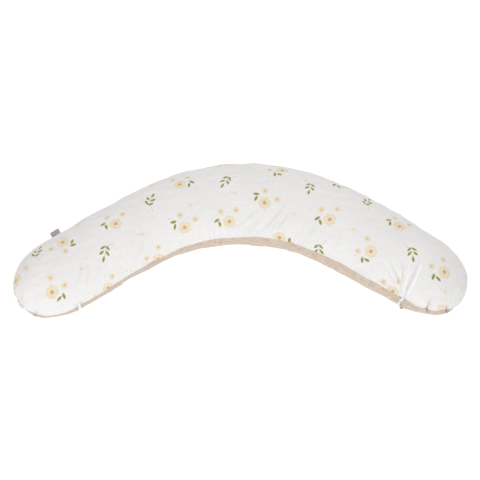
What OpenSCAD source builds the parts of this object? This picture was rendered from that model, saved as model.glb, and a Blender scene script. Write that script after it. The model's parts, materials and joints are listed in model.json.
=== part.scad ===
// Crescent nursing pillow: zipped two-panel cover over a sewn inner cushion filled with beads.
// The pillow lies on its flat underside. +Z is up, +X runs along its span and the bay faces -Y.

/* [Pillow] */
// Width of the filled roll in the middle bend, seen from above
roll_w = 280; // [250:5:320]
// Height of the filled roll above the floor
roll_h = 205; // [190:5:230]
// Height of the widest line of the roll
belly_z = 95; // [80:1:100]
// Height of the seam that joins the two cover panels
seam_z = 105; // [100:1:110]
// Radius of the roll's centre line in the middle bend
bend_r = 568; // [450:1:700]
// Half angle of the middle bend
bend_half = 36; // [26:1:44]
// Length of each arm, up to its round end
arm_l = 292; // [150:1:350]
// How much closer to the arm's middle plane each side of it gets over its length
arm_taper = 18; // [6:1:30]

/* [Cover] */
// Thickness of a cover panel
cover_t = 1; // [0.6:0.1:1.2]
// Half height of the slot that the zip shows through
slot_half = 5.8; // [5.6:0.1:6.4]
// Width of the tab in the outer seam
tab_w = 32; // [20:1:50]
// Length of the folded tab, outward from the seam
tab_l = 32; // [15:1:40]
// Distance of the tab's middle along the left arm
tab_along = 220; // [120:1:230]

/* [Ties] */
// Width of a tie
tie_w = 9; // [6:1:12]
// Thickness of a tie, sewn from folded cloth
tie_t = 2; // [1:0.2:2.4]

/* [Zip] */
// Half angle of the zip about the bend's centre
zip_half = 24; // [12:1:26]
// Thickness of the zip tapes
tape_t = 0.5; // [0.3:0.1:0.6]
// Width of each zip tape
tape_w = 12; // [10:1:14]
// Width of each coil row
coil_w = 2.2; // [1.8:0.1:2.4]
// Thickness of a coil row
coil_t = 2.2; // [1.8:0.1:2.4]
// Length of the slider
slider_l = 12; // [9:1:15]
// Length of the pull
pull_l = 24; // [18:1:30]

/* [Inner cushion] */
// Thickness of the inner case
case_t = 0.8; // [0.4:0.1:1]
// Room between the cover and the inner case along the seam
side_room = 4; // [3.8:0.1:6]
// Room for the sewn edge inside the inner case
edge_room = 3; // [2.5:0.5:6]

/* [Hidden] */
$fn = 96;

half_w = roll_w / 2;
half_h = roll_h - belly_z;

// The bend's centre, placed so that the pillow's box is centred on the origin
bend_y = -(bend_r * (1 + cos(bend_half)) - arm_l * sin(bend_half) + arm_taper * cos(bend_half)) / 2;

// Each side of an arm leans in towards the arm's middle plane
lean = atan(arm_taper / arm_l);

// Half width of the cover's outside and inside at the seam
seam_u = width_at(half_w, half_h, seam_z);
inside_w = half_w - cover_t;
inside_h = half_h - cover_t;

// The inner case and its filling
case_w = inside_w - side_room;
case_h = inside_h;
fill_w = case_w - case_t - edge_room;
fill_h = case_h - case_t;

// Sewn edges, inside the cover and inside the inner case
thread_w = 1.6;
thread_h = 1.2;

// The zip's layers, from the inside outwards, as distances from the bend's centre line
tape_out = width_at(inside_w, inside_h, seam_z) - 1.3;
tape_in = tape_out - tape_t;
coil_out = tape_out + coil_t;
row_gap = 0.5;
slider_play = 0.3;
plate_t = 1.2;
slider_half_z = 5;
slider_deg = slider_l / (bend_r + coil_out) * 180 / PI;
stop_deg = 0.4;
slider_at = 90 + zip_half - stop_deg - slider_deg / 2 - 0.35;

// The bail is an arch along the zip; the pull's crossbar turns under it
plate_out = coil_out + slider_play + plate_t;
pull_pin_u = plate_out + 0.95;
bail_in = pull_pin_u + 0.95;
bail_t = 1;
bail_half_z = 2.2;
bail_half_y = 3.4;
pull_w = 7.5;
pull_t = 1.2;

// Routes of the ties in the frame of an arm: along it, out from its middle plane, height
tie_left_route = [
    [302, 121.6, 105], [302, 124.2, 104], [302, 125.2, 98], [302, 124.6, 85], [302, 120.8, 68],
    [302, 113.2, 51], [302, 102.8, 35], [301, 89, 20], [300, 79, 9], [298, 71.5, 3],
    [293, 67, 1.4], [280, 67.7, 1.4], [262, 69.5, 1.4]
];
tie_right_route = [
    [286, 123.6, 105], [286, 127.6, 104], [286, 131.6, 98], [287, 130.4, 89], [287, 125.8, 74],
    [287, 119, 58], [287, 109.4, 41], [287, 97, 25], [286, 85, 12], [283, 75, 4],
    [277, 68.5, 1.4], [268, 68.5, 1.4], [255, 70, 1.4]
];
// Hidden lengths of the ties, lying under the inner side of the arm
tie_tail = [[230, 72.8, 1.4], [205, 75.2, 1.4], [180, 77.3, 1.4], [155, 79.1, 1.4], [130, 80.7, 1.4]];

// Half width of an oval section at a height
function width_at(w, h, z) = w * sqrt(1 - pow((z - belly_z) / h, 2));

// Angle of an oval section at a height, on its +X side
function angle_at(h, z) = asin((z - belly_z) / h);

// Points of an oval section from one angle to another
function oval(w, h, from, to, n) = [
    for (i = [0:n])
        let (t = from + (to - from) * i / n)
        [w * cos(t), belly_z + h * sin(t)]
];

// The part of a section above the seam, over its whole width or on its +X half
function crown(w, h, end) = oval(w, h, angle_at(h, seam_z), end, end > 90 ? 24 : 12);
function crown_end(h) = 180 - angle_at(h, seam_z);

// The part of a section below the seam, on one side, down to a flat at a height
function belly(w, h, floor_z) = oval(w, h, angle_at(h, seam_z), angle_at(h, floor_z), 10);

function flipped(points) = [for (p = points) [-p[0], p[1]]];
function reversed(points) = [for (i = [len(points) - 1:-1:0]) points[i]];

// Whole outline below the seam, from the +X seam round the floor to the -X seam
function belly_all(w, h, floor_z) =
    concat(belly(w, h, floor_z), reversed(flipped(belly(w, h, floor_z))));

module crown_shell(w, h, t) {
    polygon(concat(crown(w, h, crown_end(h)), reversed(crown(w - t, h - t, crown_end(h - t)))));
}

module crown_shell_half(w, h, t) {
    polygon(concat(crown(w, h, 90), reversed(crown(w - t, h - t, 90))));
}

module belly_shell(w, h, floor_z, t) {
    polygon(concat(belly_all(w, h, floor_z), reversed(belly_all(w - t, h - t, floor_z + t))));
}

module belly_shell_half(w, h, floor_z, t) {
    polygon(concat(
        belly(w, h, floor_z), [[0, floor_z], [0, floor_z + t]],
        reversed(belly(w - t, h - t, floor_z + t))
    ));
}

module roll_section(w, h, floor_z) {
    polygon(concat(crown(w, h, crown_end(h)), reversed(belly_all(w, h, floor_z))));
}

module roll_section_half(w, h, floor_z) {
    polygon(concat(reversed(crown(w, h, 90)), belly(w, h, floor_z), [[0, floor_z]]));
}

// The part of a band's section that follows an oval between two heights
module oval_band(w, h, t, z0, z1) {
    polygon(concat(
        oval(w, h, angle_at(h, z0), angle_at(h, z1), 4),
        reversed(oval(w - t, h, angle_at(h, z0), angle_at(h, z1), 4))
    ));
}

// Puts its child, drawn at distance u from the roll's centre line, round part of the bend
module round_bend(from, angle) {
    translate([0, bend_y, 0])
        rotate([0, 0, from])
            rotate_extrude(angle = angle)
                translate([bend_r, 0])
                    children();
}

// Frame of an arm: its length along +X and the roll's outer side towards +Y
module on_arm(side) {
    mirror([side == "left" ? 1 : 0, 0, 0])
        translate([0, bend_y, 0])
            rotate([0, 0, 90 - bend_half])
                translate([bend_r, 0, 0])
                    rotate([0, 0, -90])
                        children();
}

module along_arm(from, length) {
    translate([from, 0, 0])
        rotate([90, 0, 90])
            linear_extrude(length)
                children();
}

// Puts its child on both sides of the pillow's middle plane
module both_sides() {
    children();
    mirror([1, 0, 0])
        children();
}

// Frame of an arm's leaning outer side
module leaning() {
    rotate([0, 0, -lean])
        children();
}

// The outer side of the right arm and its round end, cut flat on the arm's middle plane;
// child 0 is a section that the side is cut from, and child 1 is its +X half
module arm_side() {
    intersection() {
        cube([arm_l, roll_w, 2 * roll_h]);
        leaning()
            along_arm(-roll_w / 10, arm_l + roll_w / 5)
                children(0);
    }
    intersection() {
        translate([arm_l, 0, 0])
            cube([roll_w, roll_w, 2 * roll_h]);
        translate([arm_l, -arm_taper, 0])
            rotate_extrude(angle = 90)
                children(1);
    }
}

// Both sides of the right arm, from its outer side
module whole_arm() {
    on_arm("right") {
        arm_side() {
            children(0);
            children(1);
        }
        mirror([0, 1, 0])
            arm_side() {
                children(0);
                children(1);
            }
    }
}

// The right half of the bend, cut flat on the pillow's middle plane
module half_bend() {
    difference() {
        round_bend(90 - bend_half, bend_half + 1)
            children();
        translate([-roll_w, -roll_w, 0])
            cube([roll_w, 3 * roll_w, 2 * roll_h]);
    }
}

// Sweeps a section, child 0, along the whole pillow; child 1 is its +X half, for the ends
module pillow_sweep() {
    both_sides() {
        half_bend()
            children(0);
        whole_arm() {
            children(0);
            children(1);
        }
    }
}

// Sweeps a small section round the seam, leaving the outer bend open over +-gap_half
module seam_sweep(gap_half) {
    both_sides() {
        round_bend(90 - bend_half, bend_half - gap_half)
            children();
        half_bend()
            mirror([1, 0])
                children();
        whole_arm() {
            children();
            children();
        }
    }
}

module zip_slot(z0, z1) {
    round_bend(90 - zip_half, 2 * zip_half)
        translate([seam_u - 12, z0])
            square([30, z1 - z0]);
}

module cover_top_panel() {
    color([0.9, 0.9, 0.89])
        difference() {
            pillow_sweep() {
                crown_shell(half_w, half_h, cover_t);
                crown_shell_half(half_w, half_h, cover_t);
            }
            zip_slot(seam_z - 1, seam_z + slot_half);
        }
}

module cover_bottom_panel() {
    color([0.82, 0.76, 0.7])
        difference() {
            pillow_sweep() {
                belly_shell(half_w, half_h, 0, cover_t);
                belly_shell_half(half_w, half_h, 0, cover_t);
            }
            zip_slot(seam_z - slot_half, seam_z + 1);
        }
}

// Sewn and overlocked edges of the two panels, just inside the seam
module cover_seam_thread() {
    color([0.93, 0.92, 0.9])
        seam_sweep(zip_half + 0.5)
            translate([seam_u - cover_t - 0.4 - thread_w, seam_z - thread_h / 2])
                square([thread_w, thread_h]);
}

// Plain woven tab, folded in two and sewn into the outer seam of the left arm
module cover_tab() {
    ply = 0.5;
    fold_r = 0.7;
    color([0.72, 0.68, 0.7])
        on_arm("left")
            leaning()
                translate([tab_along - tab_w / 2, seam_u + 0.2, seam_z]) {
                    for (z = [-fold_r, fold_r - ply])
                        translate([0, 0, z])
                            cube([tab_w, tab_l - fold_r, ply]);
                    translate([0, tab_l - fold_r, 0])
                        rotate([90, 0, 90])
                            half_ring(fold_r, ply, tab_w);
                }
}

// Half ring, bulging towards +X, extruded by a length
module half_ring(r, t, length) {
    linear_extrude(length)
        difference() {
            circle(r, $fn = 48);
            circle(r - t, $fn = 48);
            translate([-2 * r, -r])
                square([2 * r, 2 * r]);
        }
}

// Satin label sewn inside the cover, past the end of the zip
module cover_care_label() {
    color([0.96, 0.96, 0.95])
        round_bend(90 - zip_half - 6, 3.2)
            oval_band(inside_w - 0.6, inside_h - 0.6, 0.3, seam_z + 2, seam_z + 52);
}

// A tie's points in the frame of an arm, whose outer side is +Y
function tie_points(route) = [for (p = concat(route, tie_tail)) [p[0], -p[1], p[2]]];

function unit(v) = v / norm(v);

// Direction of a route at a point
function heading(points, i) =
    unit(points[min(i + 1, len(points) - 1)] - points[max(i - 1, 0)]);

// Smooth route: each stretch between two points is cut in steps, along a cubic curve
function curve_at(a, b, c, d, t) =
    0.5 * ((2 * b) + (c - a) * t + (2 * a - 5 * b + 4 * c - d) * t * t
    + (3 * b - a - 3 * c + d) * t * t * t);
function smoothed(p, steps) = [
    for (i = [0:len(p) - 2])
        for (k = [0:steps - 1])
            curve_at(p[max(i - 1, 0)], p[i], p[i + 1], p[min(i + 2, len(p) - 1)], k / steps),
    p[len(p) - 1]
];

// Outward side of the tie's flat face: away from the roll, and down where it lies on the floor
function flat_side(p) =
    let (lift = min(1, max(0, (p[2] - 2) / (belly_z - 2))))
    unit([0, -lift, lift - 1]);

function tie_ring(points, i) =
    let (d = heading(points, i))
    let (side = unit(cross(d, flat_side(points[i]))))
    let (up = cross(side, d))
    [
        for (k = [0:7])
            points[i] + side * tie_w / 2 * cos(45 * k + 22.5) / cos(22.5)
            + up * tie_t / 2 * sin(45 * k + 22.5) / sin(67.5)
    ];

module tie(points) {
    rings = [for (i = [0:len(points) - 1]) tie_ring(points, i)];
    last = len(points) - 1;
    polyhedron(
        points = [for (ring = rings) each ring],
        faces = concat(
            [[for (k = [7:-1:0]) k]],
            [[for (k = [0:7]) last * 8 + k]],
            [
                for (i = [0:last - 1])
                    for (k = [0:7])
                        [i * 8 + k, i * 8 + (k + 1) % 8, (i + 1) * 8 + (k + 1) % 8, (i + 1) * 8 + k]
            ]
        ),
        convexity = 4
    );
}

module tie_left() {
    color([0.9, 0.9, 0.88])
        on_arm("left")
            tie(smoothed(tie_points(tie_left_route), 2));
}

module tie_right() {
    color([0.9, 0.9, 0.88])
        on_arm("right")
            tie(smoothed(tie_points(tie_right_route), 2));
}

// The upper tape stands straight behind the slot, then leans in to follow the cover
module zip_tape_upper() {
    bend_z = seam_z + slot_half;
    top_z = seam_z + row_gap + tape_w;
    top_out = width_at(inside_w, inside_h, top_z) - 1;
    color([0.88, 0.86, 0.84])
        round_bend(90 - zip_half, 2 * zip_half)
            polygon([
                [tape_in, seam_z + row_gap], [tape_out, seam_z + row_gap], [tape_out, bend_z],
                [top_out, top_z], [top_out - tape_t, top_z], [tape_in, bend_z]
            ]);
}

module zip_tape_lower() {
    color([0.88, 0.86, 0.84])
        round_bend(90 - zip_half, 2 * zip_half)
            translate([tape_in, seam_z - row_gap - tape_w])
                square([tape_t, tape_w]);
}

// One row of the nylon coil, as a closed band of the coil's outer size
module zip_coil(dir) {
    color([0.8, 0.78, 0.75])
        round_bend(90 - zip_half, 2 * zip_half)
            translate([tape_out, dir > 0 ? seam_z + row_gap : seam_z - row_gap - coil_w])
                square([coil_t, coil_w]);
}

module zip_coil_upper() {
    zip_coil(1);
}

module zip_coil_lower() {
    zip_coil(-1);
}

// Two sewn lines that hold the tapes to the panels
module zip_topstitch() {
    color([0.95, 0.94, 0.92])
        for (z = [seam_z - slot_half - 2.5, seam_z + slot_half + 2])
            round_bend(90 - zip_half, 2 * zip_half)
                translate([width_at(half_w, half_h, z), z])
                    square([0.4, 0.5]);
}

// A block across the coil rows, from one angle round the bend
module zip_stop(from, z0, z1) {
    round_bend(from, stop_deg)
        translate([coil_out, z0])
            square([0.6, z1 - z0]);
}

// The two stops that hold the slider at the closed end
module zip_top_stops() {
    color([0.7, 0.7, 0.7]) {
        zip_stop(90 + zip_half - stop_deg, seam_z + row_gap, seam_z + row_gap + coil_w);
        zip_stop(90 + zip_half - stop_deg, seam_z - row_gap - coil_w, seam_z - row_gap);
    }
}

// The single stop across both rows at the other end
module zip_bottom_stop() {
    color([0.7, 0.7, 0.7])
        zip_stop(90 - zip_half, seam_z - row_gap - coil_w, seam_z + row_gap + coil_w);
}

// Frame of the slider: +X points outwards, +Y along the zip, and the origin is on the centre line
module at_slider() {
    translate([0, bend_y, seam_z])
        rotate([0, 0, slider_at])
            translate([bend_r, 0, 0])
                children();
}

// One curved plate of the slider, between two distances from the centre line
module slider_plate(u0, u1, half_z) {
    rotate_from = slider_at - slider_deg / 2;
    round_bend(rotate_from, slider_deg)
        translate([u0, seam_z - half_z])
            square([u1 - u0, 2 * half_z]);
}

module zip_slider() {
    outer_face = coil_out + slider_play;
    inner_face = tape_in - slider_play;
    flange_t = 1;
    sink = 0.2;
    color([0.75, 0.75, 0.76]) {
        slider_plate(outer_face, plate_out, slider_half_z);
        slider_plate(inner_face - plate_t, inner_face, slider_half_z - 0.6);
        for (z = [seam_z - slider_half_z, seam_z + slider_half_z - flange_t])
            round_bend(slider_at - slider_deg / 2, slider_deg)
                translate([tape_out + slider_play, z])
                    square([coil_t + sink, flange_t]);
        at_slider() {
            // Divider between the two rows, at the end that faces the top stops
            translate([inner_face - plate_t / 2, slider_l / 2 - 4, -row_gap + 0.2])
                cube([outer_face - inner_face + plate_t, 3, 2 * (row_gap - 0.2)]);
            for (y = [-bail_half_y - bail_t, bail_half_y])
                translate([plate_out - sink, y, -bail_half_z])
                    cube([bail_in - plate_out + bail_t + sink, bail_t, 2 * bail_half_z]);
            translate([bail_in, -bail_half_y - bail_t, -bail_half_z])
                cube([bail_t, 2 * (bail_half_y + bail_t), 2 * bail_half_z]);
        }
    }
}

// Flat pull that lies along the closed zip; its crossbar passes under the bail
module zip_pull() {
    crossbar_r = pull_t / 2;
    eye_l = 5.2;
    eye_half_z = bail_half_z + 0.4;
    color([0.78, 0.78, 0.79])
        at_slider()
            translate([pull_pin_u, 0, 0])
                mirror([0, 1, 0]) {
                    difference() {
                        pull_blank();
                        translate([-pull_t, 0, -eye_half_z])
                            cube([2 * pull_t, eye_l, 2 * eye_half_z]);
                    }
                    translate([0, 0, -pull_w / 2])
                        cylinder(r = crossbar_r, h = pull_w);
                }
}

// The pull's outline: square at the crossbar and round at the tip
module pull_blank() {
    translate([-pull_t / 2, 0, -pull_w / 2])
        cube([pull_t, pull_l - pull_w / 2, pull_w]);
    translate([-pull_t / 2, pull_l - pull_w / 2, 0])
        rotate([0, 90, 0])
            cylinder(r = pull_w / 2, h = pull_t);
}

module inner_case_top() {
    color([0.93, 0.93, 0.93])
        pillow_sweep() {
            crown_shell(case_w, case_h, case_t);
            crown_shell_half(case_w, case_h, case_t);
        }
}

module inner_case_bottom() {
    color([0.9, 0.9, 0.9])
        pillow_sweep() {
            belly_shell(case_w, case_h, cover_t, case_t);
            belly_shell_half(case_w, case_h, cover_t, case_t);
        }
}

// Sewn edge of the inner case; it starts and ends in the middle of the outer side
module inner_case_seam_thread() {
    color([0.85, 0.85, 0.85])
        seam_sweep(0.3)
            translate([width_at(case_w, case_h, seam_z) - case_t - 0.5 - thread_w, seam_z - thread_h / 2])
                square([thread_w, thread_h]);
}

// Label sewn to the inner case on the left arm, lying flat under the cover
module inner_case_label() {
    color([0.97, 0.97, 0.96])
        on_arm("left")
            leaning()
                along_arm(tab_along - 60, 40)
                    oval_band(case_w + 1.2, case_h, 0.3, seam_z + 2, seam_z + 37);
}

module bead_filling() {
    color([0.97, 0.97, 0.97])
        pillow_sweep() {
            roll_section(fill_w, fill_h, cover_t + case_t);
            roll_section_half(fill_w, fill_h, cover_t + case_t);
        }
}

cover_top_panel();
cover_bottom_panel();
cover_seam_thread();
cover_tab();
cover_care_label();
tie_left();
tie_right();
zip_tape_upper();
zip_tape_lower();
zip_coil_upper();
zip_coil_lower();
zip_topstitch();
zip_top_stops();
zip_bottom_stop();
zip_slider();
zip_pull();
inner_case_top();
inner_case_bottom();
inner_case_seam_thread();
inner_case_label();
bead_filling();
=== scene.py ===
"""Looks of a crescent nursing pillow: a printed, zipped cover over a bead-filled inner cushion.

Everything is in metres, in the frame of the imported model: +Z up, +X along the span and the bay
facing -Y. s is the distance along the roll's centre line from the middle, positive to the right.
t is the angle round a section: 0 on the outer side, 90 degrees at the crown, 180 on the inner side.
"""
import json
import math

import bpy
import numpy as np
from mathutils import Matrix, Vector


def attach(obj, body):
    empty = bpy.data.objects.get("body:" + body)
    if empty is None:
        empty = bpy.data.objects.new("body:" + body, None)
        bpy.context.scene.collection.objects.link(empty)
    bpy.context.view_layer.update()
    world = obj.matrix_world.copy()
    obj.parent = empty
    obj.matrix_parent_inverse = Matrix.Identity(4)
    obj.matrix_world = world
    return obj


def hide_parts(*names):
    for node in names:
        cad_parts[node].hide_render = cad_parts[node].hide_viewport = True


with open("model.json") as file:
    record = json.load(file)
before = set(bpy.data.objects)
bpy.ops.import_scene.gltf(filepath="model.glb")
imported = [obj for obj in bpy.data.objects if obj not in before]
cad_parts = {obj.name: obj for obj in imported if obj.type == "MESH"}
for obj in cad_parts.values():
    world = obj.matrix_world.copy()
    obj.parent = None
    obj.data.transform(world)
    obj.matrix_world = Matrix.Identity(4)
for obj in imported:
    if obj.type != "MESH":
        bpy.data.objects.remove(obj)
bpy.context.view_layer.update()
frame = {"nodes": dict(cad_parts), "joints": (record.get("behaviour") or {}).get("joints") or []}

# The roll's centre line: a middle bend and two straight arms, as in the CAD model
BEND_R = 0.568
BEND_HALF = math.radians(36)
BEND_Y = next(j for j in frame["joints"] if j["name"] == "zip_travel")["pos_m"][1]
STRAIGHT = 0.272
HALF_LINE = BEND_R * BEND_HALF + STRAIGHT

# Half widths of the filled roll at equal steps from the left arm's end to the right arm's end
OUTER_HALF = np.array([127, 131.5, 131, 141.5, 155, 153.5, 147.5, 149.5, 137]) / 1000
INNER_HALF = np.array([123.5, 119, 127.5, 136, 142, 139, 131.2, 119.5, 116.7]) / 1000
WIDEST_Z = 0.095
CROWN_RISE = 0.1095
END_LEFT = 0.173
END_RIGHT = 0.163
ROUND_LEFT = 2.2
ROUND_RIGHT = 2.05

# The seam and the zip
SEAM_Z = 0.105
ZIP_HALF = BEND_R * math.radians(24)
SLOT_HALF = 0.0058
ZIP_SEAM_U = 0.1396
SEAM_OUTER = math.asin((SEAM_Z - WIDEST_Z) / CROWN_RISE)

# The middle of the plan view: the camera aims at it, and the print is laid out from it
PLAN_Y = BEND_Y + 0.4338

# How much of an inset a shape is raised at its underside
INSET_LIFT = 0.3
# Height of the strip that the zip draws in, and how softly the underside turns up off the floor
ZIP_PULL_HEIGHT = 0.022
FLOOR_EASE = 0.006


def smoothstep(a, b, x):
    f = np.clip((x - a) / (b - a), 0, 1)
    return f * f * (3 - 2 * f)


def bump(x, width):
    return np.exp(-((x / width) ** 2))


def unit(v):
    return v / np.maximum(np.linalg.norm(v, axis=-1, keepdims=True), 1e-12)


def cubic(a, b, c, d, f):
    """Value at a share f of the way from b to c, on a smooth curve through all four."""
    return b + 0.5 * f * (c - a + f * (2 * a - 5 * b + 4 * c - d + f * (3 * (b - c) + d - a)))


def along(values, s):
    """Smooth curve through values at equal steps of the centre line."""
    last = len(values) - 1
    at = np.clip((s / HALF_LINE + 1) / 2, 0, 1) * last
    i = np.clip(at.astype(int), 0, last - 1)
    v = np.concatenate(([values[0]], values, [values[-1]]))
    return cubic(v[i], v[i + 1], v[i + 2], v[i + 3], at - i)


def centre_line(s):
    """Point of the centre line, and its outer normal there."""
    turned = np.clip(s / BEND_R, -BEND_HALF, BEND_HALF)
    past = s - turned * BEND_R
    nx = np.sin(turned)
    ny = np.cos(turned)
    return BEND_R * nx + past * ny, BEND_Y + BEND_R * ny - past * nx, nx, ny


def end_shrink(s):
    """How much of its full size a section keeps near the round ends."""
    q = np.clip((np.abs(s) - HALF_LINE) / np.where(s < 0, END_LEFT, END_RIGHT), 0, 1)
    power = np.where(s < 0, ROUND_LEFT, ROUND_RIGHT)
    return np.clip(1 - q**power, 0, 1) ** (1 / power)


def base(s, t, inset=0.0):
    """Point of the filled shape, without its seam and creases."""
    s, t = np.broadcast_arrays(np.asarray(s, float), np.asarray(t, float))
    x, y, nx, ny = centre_line(s)
    keep = end_shrink(s)
    across = np.cos(t)
    half = np.where(across > 0, along(OUTER_HALF, s), along(INNER_HALF, s))
    u = (half - inset) * keep * across
    z = WIDEST_Z + (CROWN_RISE - inset) * keep**0.85 * np.sin(t)
    # The zip holds the outer seam at its own distance from the centre line
    pull = along(OUTER_HALF, s) * math.cos(SEAM_OUTER) - ZIP_SEAM_U
    pull *= 1 - smoothstep(ZIP_HALF + 0.005, ZIP_HALF + 0.07, np.abs(s))
    u -= np.where(across > 0, pull * bump(z - SEAM_Z, ZIP_PULL_HEIGHT), 0)
    # The underside rests on the floor
    z = 0.5 * (z + np.sqrt(z * z + FLOOR_EASE**2)) - FLOOR_EASE / 10
    z = np.maximum(z, 0) + inset * INSET_LIFT
    return np.stack([x + nx * u, y + ny * u, z], -1)


# Short folds across the seam: place along it in metres, depth in millimetres, and how far the
# seam climbs there in degrees
SEAM_FOLDS = [
    (0.721, 13.0, 14.0), (0.7675, 13.0, 12.0), (0.652, 8.0, 3.0), (0.634, 6.0, 2.0),
    (-0.777, 12.0, 12.0), (-0.800, 8.0, 9.0), (-0.668, 8.0, 3.0), (-0.648, 6.0, 3.0),
    (-0.605, 3.0, 2.5),
]
FOLD_W = 0.0029


def seam_inner(s):
    """Angle of the seam on the inner side: it climbs a little where the bay is deepest."""
    at = [-0.8, -0.75, -0.63, -0.42, -0.3, -0.2, -0.1, 0, 0.1, 0.2, 0.41, 0.5, 0.67, 0.71, 0.75]
    above = [-7, -4, 1.5, 3, 6, 7.5, 9.5, 12, 12.5, 13, 13, 12, 12, 5, 0]
    climb = np.interp(s, at, above)
    for place, _, height in SEAM_FOLDS:
        climb += height * bump(s - place, FOLD_W)
    return math.pi - np.radians(climb)


def slot_gap(s):
    """Half angle of the opening that the zip shows through."""
    open_half = math.asin(SLOT_HALF / CROWN_RISE)
    return open_half * (1 - smoothstep(ZIP_HALF - 0.004, ZIP_HALF + 0.004, np.abs(s)))


def beside_zip(s):
    """1 along the zip, falling to 0 past its two ends."""
    return 1 - smoothstep(ZIP_HALF, ZIP_HALF + 0.03, np.abs(s))


def panel_angles(s, side, gap, share):
    """Angles of the top (side 1) or bottom (side -1) half, at shares of the way across it."""
    if side > 0:
        start = SEAM_OUTER + gap
        end = seam_inner(s)
    else:
        start = seam_inner(s) - 2 * math.pi
        end = SEAM_OUTER - gap
    return start[:, None] + (end - start)[:, None] * share


def normals_at(s, t):
    """Outward normals of the base shape."""
    ds = 1e-4
    dt = 1e-3
    toward = np.where(s > 0, -ds, ds)
    along_s = (base(s + toward, t) - base(s, t)) * np.sign(toward)[..., None]
    along_t = base(s, t + dt) - base(s, t - dt)
    return unit(np.cross(along_s, along_t))


def row_places(step, end_steps):
    """Values of s from one tip to the other, closer together round the ends."""
    quarter = np.sin(np.linspace(0, math.pi / 2, end_steps + 1))
    left = -HALF_LINE - END_LEFT * quarter[:0:-1] ** (2 / ROUND_LEFT)
    right = HALF_LINE + END_RIGHT * quarter[1:] ** (2 / ROUND_RIGHT)
    middle = np.linspace(-HALF_LINE, HALF_LINE, int(2 * HALF_LINE / step) + 1)
    return np.concatenate((left, middle, right))


def crowded(count):
    """Steps from 0 to 1 that are closer together at both ends."""
    x = np.linspace(0, 1, count)
    return x - np.sin(2 * math.pi * x) / (4 * math.pi)


def end_tips(inset, inward_by):
    """The two end points of the roll, moved in towards each other."""
    tips = base([-HALF_LINE - END_LEFT, HALF_LINE + END_RIGHT], 0.0, inset)
    return tips + inward_by * unit(tips.mean(0) - tips)


# --- meshes


def add_object(name, data):
    obj = bpy.data.objects.new(name, data)
    bpy.context.scene.collection.objects.link(obj)
    return obj


def mesh_object(name, points, faces, material):
    mesh = bpy.data.meshes.new(name)
    mesh.from_pydata(np.asarray(points).tolist(), [], faces)
    mesh.polygons.foreach_set("use_smooth", [True] * len(mesh.polygons))
    mesh.materials.append(material)
    mesh.update()
    return add_object(name, mesh)


def grid_faces(rows, cols, wrap=False, start=0):
    index = np.arange(rows * cols).reshape(rows, cols) + start
    if wrap:
        index = np.concatenate((index, index[:, :1]), axis=1)
    quads = np.stack([index[:-1, :-1], index[1:, :-1], index[1:, 1:], index[:-1, 1:]], -1)
    return quads.reshape(-1, 4).tolist()


def sheet_object(name, points, material, tips=None, wrap=False):
    """A grid of points as a mesh; tips are single points that close its first and last rows."""
    rows, cols = points.shape[:2]
    faces = grid_faces(rows, cols, wrap)
    flat = points.reshape(-1, 3)
    if tips is not None:
        first = len(flat)
        last_row = (rows - 1) * cols
        flat = np.concatenate((flat, np.asarray(tips)))
        for k in range(cols if wrap else cols - 1):
            j = (k + 1) % cols
            faces.append([first, k, j])
            faces.append([first + 1, last_row + j, last_row + k])
    return mesh_object(name, flat, faces, material)


def thicken(obj, thickness, turn_over=False):
    """Gives a sheet its thickness on the inner side, after turning its faces over if asked."""
    if turn_over:
        obj.data.flip_normals()
    modifier = obj.modifiers.new("thickness", "SOLIDIFY")
    modifier.thickness = thickness
    modifier.offset = -1
    evaluated = obj.evaluated_get(bpy.context.evaluated_depsgraph_get())
    done = bpy.data.meshes.new_from_object(evaluated)
    obj.modifiers.clear()
    obj.data = done


def settle(obj, node):
    """The piece rides on the cushion, in place of its CAD node."""
    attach(obj, "cushion")
    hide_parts(node)


def oval(sides, half_width, half_height):
    a = np.linspace(0, 2 * math.pi, sides, endpoint=False)
    return np.stack([np.cos(a) * half_width, np.sin(a) * half_height], -1)


def tube_object(name, points, outward, profile, material, swell=1.0):
    """Sweeps a closed profile, (side, up), along a path; up leans to outward."""
    d = unit(np.gradient(points, axis=0))
    side = unit(np.cross(d, outward))
    up = np.cross(side, d)
    rings = side[:, None] * profile[None, :, :1] + up[:, None] * profile[None, :, 1:]
    rings = points[:, None] + rings * swell
    return sheet_object(name, rings, material, tips=points[[0, -1]], wrap=True)


def smoothed(points, steps):
    """Points on a smooth curve through the points of a route."""
    p = np.asarray(points, float)
    p = np.concatenate((p[:1], p, p[-1:]))
    shares = np.arange(steps) / steps
    return np.array([cubic(*p[i:i + 4], f) for i in range(len(p) - 3) for f in shares] + [p[-2]])


# --- shader helpers


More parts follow.
